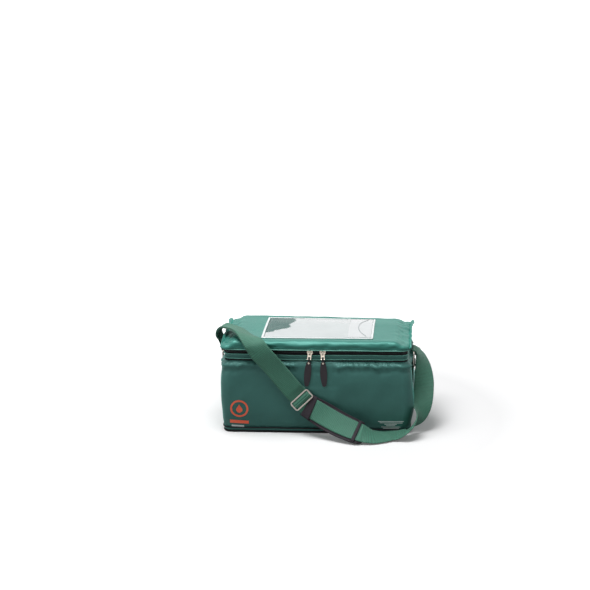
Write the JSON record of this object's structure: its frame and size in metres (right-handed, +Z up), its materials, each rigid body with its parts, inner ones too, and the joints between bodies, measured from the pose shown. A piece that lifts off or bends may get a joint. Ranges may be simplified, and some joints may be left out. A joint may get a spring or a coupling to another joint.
{
  "type": "insulated specimen carrier",
  "caption": "Soft insulated carrier with a padded zipped lid, a clear document pocket, side rings and a webbing shoulder strap with adjuster and pad.",
  "frame": {"origin": "centre of the base's flat underside", "axes": "+Z up, +X along the length to the right seen from the front, -Y to the front with the zip pulls and the strap"},
  "size_m": [0.4225, 0.2539, 0.1991],
  "materials": {
    "base_skin": "coated woven cloth, satin",
    "base_panel": "stiff board",
    "base_binding": "black cloth",
    "base_piping": "black cloth",
    "outer_shell": "coated woven cloth, satin",
    "base_foam": "closed-cell foam",
    "left_foam": "closed-cell foam",
    "right_foam": "closed-cell foam",
    "front_foam": "closed-cell foam",
    "back_foam": "closed-cell foam",
    "inner_liner": "wipe-clean film",
    "rim_binding": "black cloth",
    "rim_gusset": "coated woven cloth, satin",
    "lower_welt": "coated woven cloth, satin",
    "upper_welt": "coated woven cloth, satin",
    "hinge_gusset": "coated woven cloth, satin",
    "zip_tape_lower": "black cloth",
    "zip_coil_lower": "nylon coil",
    "zip_end_stops": "nickel plate",
    "ring_tab_left": "ribbed webbing",
    "ring_tab_right": "ribbed webbing",
    "strap_webbing_left": "ribbed webbing",
    "strap_webbing_right": "ribbed webbing",
    "strap_adjuster": "nickel-plated steel",
    "shoulder_pad": "black cloth",
    "pad_end_patch": "black cloth",
    "pad_keeper": "black cloth",
    "lid_skin": "coated woven cloth, satin",
    "lid_foam": "closed-cell foam",
    "lid_liner": "wipe-clean film",
    "lid_binding": "coated woven cloth, satin",
    "lid_seam_left": "coated woven cloth, satin",
    "lid_seam_right": "coated woven cloth, satin",
    "zip_tape_upper": "black cloth",
    "zip_coil_upper": "nylon coil",
    "pocket_window": "clear vinyl",
    "pocket_flap": "clear vinyl",
    "pocket_trim": "welded vinyl border",
    "slider_left": "nickel plate",
    "pull_tab_left": "nickel plate",
    "puller_left": "soft moulded pull",
    "puller_rivet_left": "nickel plate",
    "slider_right": "nickel plate",
    "pull_tab_right": "nickel plate",
    "puller_right": "soft moulded pull",
    "puller_rivet_right": "nickel plate",
    "ring_left": "nickel-plated steel",
    "ring_right": "nickel-plated steel"
  },
  "bodies": {
    "carrier": {"base_skin": "base_skin", "base_panel": "base_panel", "base_binding": "base_binding", "base_piping": "base_piping", "outer_shell": "outer_shell", "base_foam": "base_foam", "left_foam": "left_foam", "right_foam": "right_foam", "front_foam": "front_foam", "back_foam": "back_foam", "inner_liner": "inner_liner", "rim_binding": "rim_binding", "rim_gusset": "rim_gusset", "lower_welt": "lower_welt", "upper_welt": "upper_welt", "hinge_gusset": "hinge_gusset", "zip_tape_lower": "zip_tape_lower", "zip_coil_lower": "zip_coil_lower", "zip_end_stops": "zip_end_stops", "ring_tab_left": "ring_tab_left", "ring_tab_right": "ring_tab_right", "strap_webbing_left": "strap_webbing_left", "strap_webbing_right": "strap_webbing_right", "strap_adjuster": "strap_adjuster", "shoulder_pad": "shoulder_pad", "pad_end_patch": "pad_end_patch", "pad_keeper": "pad_keeper"},
    "lid": {"lid_skin": "lid_skin", "lid_foam": "lid_foam", "lid_liner": "lid_liner", "lid_binding": "lid_binding", "lid_seam_left": "lid_seam_left", "lid_seam_right": "lid_seam_right", "zip_tape_upper": "zip_tape_upper", "zip_coil_upper": "zip_coil_upper", "pocket_window": "pocket_window", "pocket_flap": "pocket_flap", "pocket_trim": "pocket_trim"},
    "slider_left": {"slider_left": "slider_left"},
    "pull_tab_left": {"pull_tab_left": "pull_tab_left"},
    "puller_left": {"puller_left": "puller_left", "puller_rivet_left": "puller_rivet_left"},
    "slider_right": {"slider_right": "slider_right"},
    "pull_tab_right": {"pull_tab_right": "pull_tab_right"},
    "puller_right": {"puller_right": "puller_right", "puller_rivet_right": "puller_rivet_right"},
    "ring_left": {"ring_left": "ring_left"},
    "ring_right": {"ring_right": "ring_right"}
  },
  "joints": [
    {"name": "lid_hinge", "type": "hinge", "parent": "carrier", "child": "lid", "pos_m": [0, 0.0974, 0.156], "axis": [-1, 0, 0], "range_deg": [0, 180], "deforming": ["hinge_gusset", "strap_webbing_left"]},
    {"name": "slider_left_travel", "type": "slide", "parent": "carrier", "child": "slider_left", "axis": [-1, 0, 0], "range_m": [0, 0.143]},
    {"name": "pull_tab_left_swing", "type": "hinge", "parent": "slider_left", "child": "pull_tab_left", "pos_m": [-0.01, -0.0916, 0.1586], "axis": [-0.9945, 0, 0.1045], "range_deg": [0, 100]},
    {"name": "puller_left_swing", "type": "hinge", "parent": "pull_tab_left", "child": "puller_left", "pos_m": [-0.01123, -0.09588, 0.14692], "axis": [-0.9945, 0, 0.1045], "range_deg": [0, 90]},
    {"name": "slider_right_travel", "type": "slide", "parent": "carrier", "child": "slider_right", "axis": [1, 0, 0], "range_m": [0, 0.139]},
    {"name": "pull_tab_right_swing", "type": "hinge", "parent": "slider_right", "child": "pull_tab_right", "pos_m": [0.014, -0.0916, 0.1586], "axis": [-0.9986, 0, -0.0523], "range_deg": [0, 100]},
    {"name": "puller_right_swing", "type": "hinge", "parent": "pull_tab_right", "child": "puller_right", "pos_m": [0.01461, -0.09588, 0.14687], "axis": [-0.9986, 0, -0.0523], "range_deg": [0, 90]},
    {"name": "ring_left_swing", "type": "hinge", "parent": "carrier", "child": "ring_left", "pos_m": [-0.1832, 0, 0.114], "axis": [0, -1, 0], "range_deg": [0, 150]},
    {"name": "ring_right_swing", "type": "hinge", "parent": "carrier", "child": "ring_right", "pos_m": [0.1832, 0, 0.114], "axis": [0, 1, 0], "range_deg": [0, 150], "deforming": ["strap_webbing_right"]}
  ]
}
